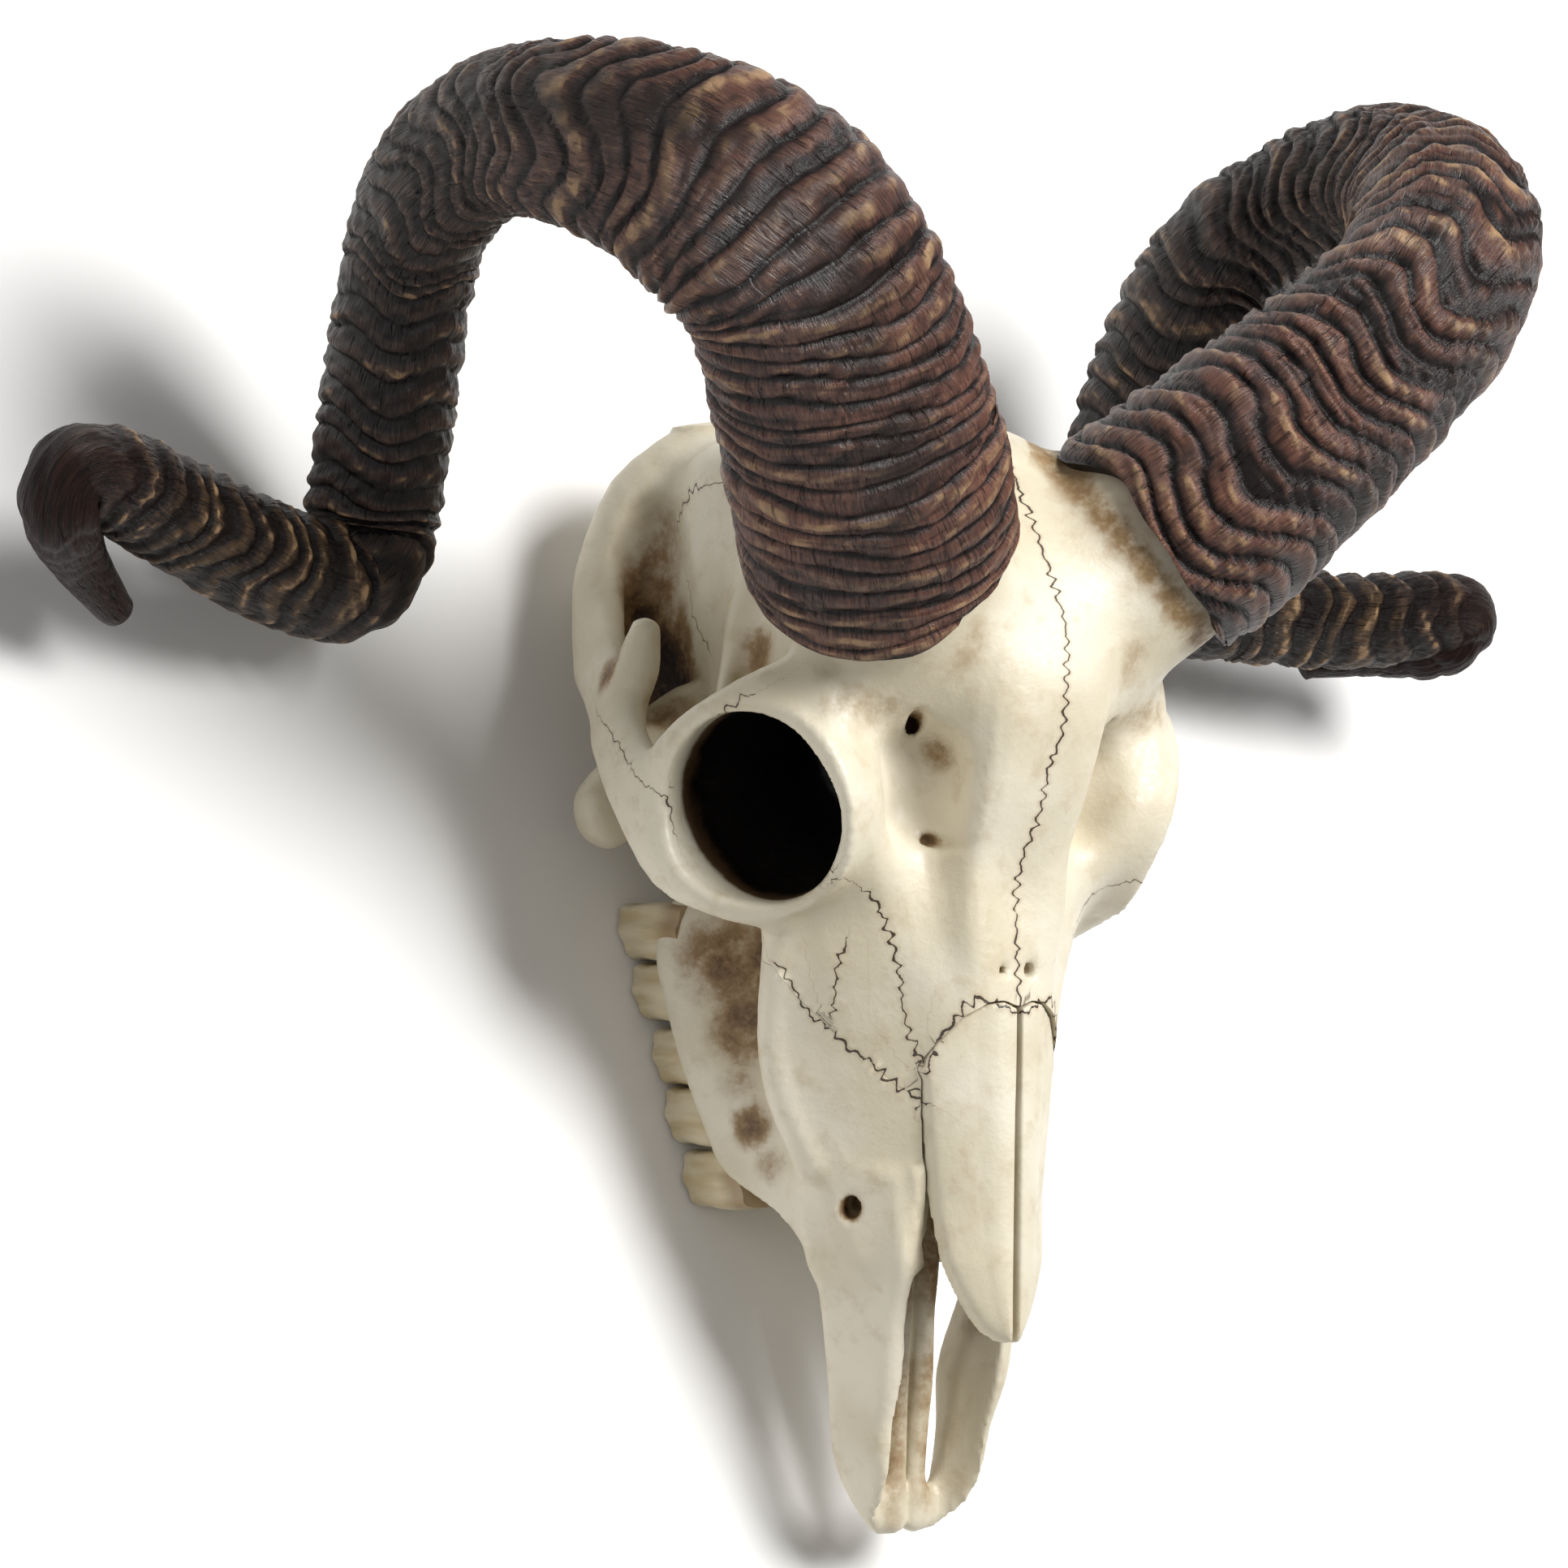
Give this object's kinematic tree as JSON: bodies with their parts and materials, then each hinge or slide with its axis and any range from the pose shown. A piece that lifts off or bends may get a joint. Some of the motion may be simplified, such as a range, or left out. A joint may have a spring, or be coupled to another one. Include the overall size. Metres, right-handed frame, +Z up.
{
  "type": "horned ram skull",
  "caption": "Life-size still skull of a horned ram without its lower jaw, resting on its cheek teeth, with long ridged horns that curl back, down and out.",
  "frame": {"origin": "on the surface the skull rests on, under the middle of the whole skull and horns", "axes": "+X to the animal's left across the spread of the horns, +Y from the nose to the back of the head, +Z up"},
  "size_m": [0.4292, 0.3202, 0.1933],
  "materials": {
    "bone": "dry ivory bone with a soft satin surface, brown staining in its hollows and seams",
    "horn": "dark brown ridged keratin, tan on the rib crests, satin"
  },
  "bodies": {
    "root": {"cranium": "bone", "upper_jaw": "bone", "nasal_left": "bone", "nasal_right": "bone", "premaxilla_left": "bone", "premaxilla_right": "bone", "horn_left": "horn", "horn_right": "horn"}
  },
  "joints": []
}
